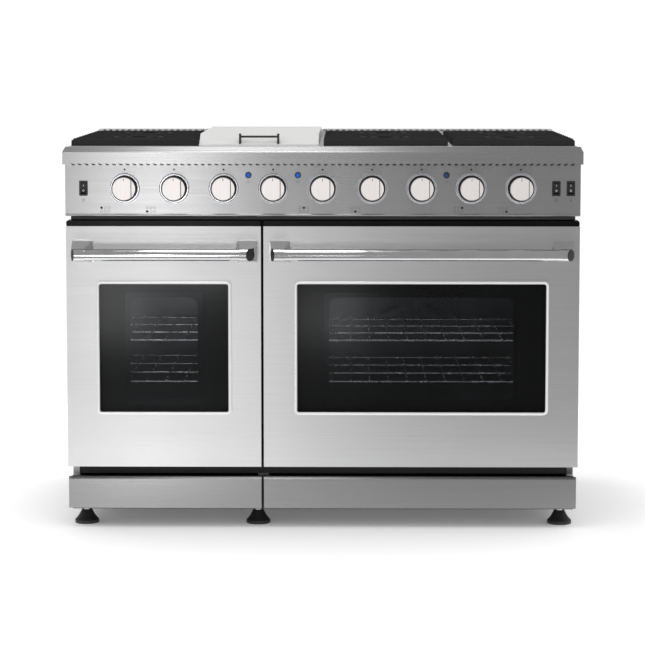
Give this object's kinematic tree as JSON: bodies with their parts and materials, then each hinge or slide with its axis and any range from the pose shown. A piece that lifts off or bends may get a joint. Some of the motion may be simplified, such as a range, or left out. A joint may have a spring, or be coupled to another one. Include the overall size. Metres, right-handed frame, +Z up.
{
  "type": "freestanding gas range",
  "caption": "Wide freestanding gas range: two drop-door ovens with windows and bar handles, a knob panel, burners under cast grates and a covered griddle, on screw feet",
  "frame": {"origin": "centre of the bounding box on the floor", "axes": "+Z up, -Y is the front with the doors and knobs, +X to the right seen from the front"},
  "size_m": [1.216, 0.777, 0.933],
  "materials": {
    "side_steel": "brushed",
    "galvanised": "dull galvanised sheet",
    "black_chassis": "matte black",
    "kick_steel": "brushed",
    "oven_enamel": "gloss dark enamel",
    "rack_chrome": "polished wire",
    "burner_tube": "dull",
    "fan_enamel": "gloss dark enamel",
    "fan_blade": "dull",
    "cooktop_steel": "brushed",
    "bullnose_steel": "brushed",
    "panel_steel": "brushed",
    "bright_chrome": "polished",
    "lamp_lens": "gloss blue",
    "black_plastic": "satin black",
    "gas_brass": "dull brass",
    "cast_aluminium": "cast",
    "cap_enamel": "matte black enamel",
    "griddle_steel": "ground",
    "cover_steel": "brushed",
    "black_handle": "satin black",
    "cast_iron": "matte black enamel",
    "knob_metal": "satin with a dark skirt",
    "door_steel": "brushed",
    "dark_glass": "clear dark",
    "door_black": "gloss black",
    "hinge_steel": "dull",
    "foot_black": "satin black"
  },
  "bodies": {
    "cabinet": {"left_side_panel": "side_steel", "right_side_panel": "side_steel", "back_panel": "galvanised", "centre_divider": "galvanised", "base_pan": "black_chassis", "face_frame": "black_chassis", "left_kick_panel": "kick_steel", "right_kick_panel": "kick_steel", "left_oven_liner": "oven_enamel", "right_oven_liner": "oven_enamel", "left_oven_racks": "rack_chrome", "right_oven_racks": "rack_chrome", "bake_burners": "burner_tube", "fan_cover": "fan_enamel", "cooktop_pan": "cooktop_steel", "bullnose": "bullnose_steel", "rear_trim": "bullnose_steel", "control_panel": "panel_steel", "knob_bezels": "bright_chrome", "indicator_lamps": "lamp_lens", "switch_housings": "black_plastic", "gas_manifold": "gas_brass", "gas_inlet": "gas_brass", "burner_bases": "cast_aluminium", "burner_heads": "cast_aluminium", "burner_caps": "cap_enamel", "griddle_plate": "griddle_steel", "door_hinges": "hinge_steel"},
    "left_door": {"left_door_panel": "door_steel", "left_door_glass": "dark_glass", "left_door_liner": "door_black", "left_door_handle": "bright_chrome"},
    "right_door": {"right_door_panel": "door_steel", "right_door_glass": "dark_glass", "right_door_liner": "door_black", "right_door_handle": "bright_chrome"},
    "griddle_lid": {"griddle_cover": "cover_steel", "griddle_cover_handle": "black_handle"},
    "convection_fan_body": {"convection_fan": "fan_blade"},
    "foot_front_left_body": {"foot_front_left": "foot_black"},
    "foot_front_middle_body": {"foot_front_middle": "foot_black"},
    "foot_front_right_body": {"foot_front_right": "foot_black"},
    "foot_rear_left_body": {"foot_rear_left": "foot_black"},
    "foot_rear_middle_body": {"foot_rear_middle": "foot_black"},
    "foot_rear_right_body": {"foot_rear_right": "foot_black"},
    "knob_1_body": {"knob_1": "knob_metal"},
    "knob_2_body": {"knob_2": "knob_metal"},
    "knob_3_body": {"knob_3": "knob_metal"},
    "knob_4_body": {"knob_4": "knob_metal"},
    "knob_5_body": {"knob_5": "knob_metal"},
    "knob_6_body": {"knob_6": "knob_metal"},
    "knob_7_body": {"knob_7": "knob_metal"},
    "knob_8_body": {"knob_8": "knob_metal"},
    "knob_9_body": {"knob_9": "knob_metal"},
    "left_grate_body": {"left_grate": "cast_iron"},
    "middle_grate_body": {"middle_grate": "cast_iron"},
    "right_grate_body": {"right_grate": "cast_iron"},
    "rocker_fan_body": {"rocker_fan": "black_plastic"},
    "rocker_left_body": {"rocker_left": "black_plastic"},
    "rocker_light_body": {"rocker_light": "black_plastic"}
  },
  "joints": [
    {"name": "left_door_hinge", "type": "hinge", "parent": "cabinet", "child": "left_door", "pos_m": [-0.374, -0.2685, 0.159], "axis": [1, 0, 0], "range_deg": [0, 90], "stiffness_Nm_per_rad": 22, "springref_deg": -8.02},
    {"name": "right_door_hinge", "type": "hinge", "parent": "cabinet", "child": "right_door", "pos_m": [0.232, -0.2685, 0.159], "axis": [1, 0, 0], "range_deg": [0, 90], "stiffness_Nm_per_rad": 34, "springref_deg": -8.02},
    {"name": "knob_1_turn", "type": "hinge", "parent": "cabinet", "child": "knob_1_body", "pos_m": [-0.464, -0.2945, 0.807], "axis": [0, -1, 0], "range_deg": [0, 270]},
    {"name": "knob_2_turn", "type": "hinge", "parent": "cabinet", "child": "knob_2_body", "pos_m": [-0.348, -0.2945, 0.807], "axis": [0, -1, 0], "range_deg": [0, 270]},
    {"name": "knob_3_turn", "type": "hinge", "parent": "cabinet", "child": "knob_3_body", "pos_m": [-0.232, -0.2945, 0.807], "axis": [0, -1, 0], "range_deg": [0, 270]},
    {"name": "knob_4_turn", "type": "hinge", "parent": "cabinet", "child": "knob_4_body", "pos_m": [-0.116, -0.2945, 0.807], "axis": [0, -1, 0], "range_deg": [0, 270]},
    {"name": "knob_5_turn", "type": "hinge", "parent": "cabinet", "child": "knob_5_body", "pos_m": [0, -0.2945, 0.807], "axis": [0, -1, 0], "range_deg": [0, 270]},
    {"name": "knob_6_turn", "type": "hinge", "parent": "cabinet", "child": "knob_6_body", "pos_m": [0.116, -0.2945, 0.807], "axis": [0, -1, 0], "range_deg": [0, 270]},
    {"name": "knob_7_turn", "type": "hinge", "parent": "cabinet", "child": "knob_7_body", "pos_m": [0.232, -0.2945, 0.807], "axis": [0, -1, 0], "range_deg": [0, 270]},
    {"name": "knob_8_turn", "type": "hinge", "parent": "cabinet", "child": "knob_8_body", "pos_m": [0.348, -0.2945, 0.807], "axis": [0, -1, 0], "range_deg": [0, 270]},
    {"name": "knob_9_turn", "type": "hinge", "parent": "cabinet", "child": "knob_9_body", "pos_m": [0.464, -0.2945, 0.807], "axis": [0, -1, 0], "range_deg": [0, 270]},
    {"name": "rocker_left_tilt", "type": "hinge", "parent": "cabinet", "child": "rocker_left_body", "pos_m": [-0.561, -0.2885, 0.807], "axis": [1, 0, 0], "range_deg": [0, 12]},
    {"name": "rocker_light_tilt", "type": "hinge", "parent": "cabinet", "child": "rocker_light_body", "pos_m": [0.547, -0.2885, 0.807], "axis": [1, 0, 0], "range_deg": [0, 12]},
    {"name": "rocker_fan_tilt", "type": "hinge", "parent": "cabinet", "child": "rocker_fan_body", "pos_m": [0.581, -0.2885, 0.807], "axis": [1, 0, 0], "range_deg": [0, 12]},
    {"name": "convection_fan_spin", "type": "hinge", "parent": "cabinet", "child": "convection_fan_body", "pos_m": [0.224, 0.2, 0.5], "axis": [0, -1, 0], "continuous": true},
    {"name": "left_grate_lift", "type": "slide", "parent": "cabinet", "child": "left_grate_body", "axis": [0, 0, 1], "range_m": [0, 0.12]},
    {"name": "middle_grate_lift", "type": "slide", "parent": "cabinet", "child": "middle_grate_body", "axis": [0, 0, 1], "range_m": [0, 0.12]},
    {"name": "right_grate_lift", "type": "slide", "parent": "cabinet", "child": "right_grate_body", "axis": [0, 0, 1], "range_m": [0, 0.12]},
    {"name": "griddle_lid_lift", "type": "slide", "parent": "cabinet", "child": "griddle_lid", "axis": [0, 0, 1], "range_m": [0, 0.15]},
    {"name": "foot_front_left_screw", "type": "slide", "parent": "cabinet", "child": "foot_front_left_body", "axis": [0, 0, -1], "range_m": [0, 0.03]},
    {"name": "foot_front_middle_screw", "type": "slide", "parent": "cabinet", "child": "foot_front_middle_body", "axis": [0, 0, -1], "range_m": [0, 0.03]},
    {"name": "foot_front_right_screw", "type": "slide", "parent": "cabinet", "child": "foot_front_right_body", "axis": [0, 0, -1], "range_m": [0, 0.03]},
    {"name": "foot_rear_left_screw", "type": "slide", "parent": "cabinet", "child": "foot_rear_left_body", "axis": [0, 0, -1], "range_m": [0, 0.03]},
    {"name": "foot_rear_middle_screw", "type": "slide", "parent": "cabinet", "child": "foot_rear_middle_body", "axis": [0, 0, -1], "range_m": [0, 0.03]},
    {"name": "foot_rear_right_screw", "type": "slide", "parent": "cabinet", "child": "foot_rear_right_body", "axis": [0, 0, -1], "range_m": [0, 0.03]}
  ]
}
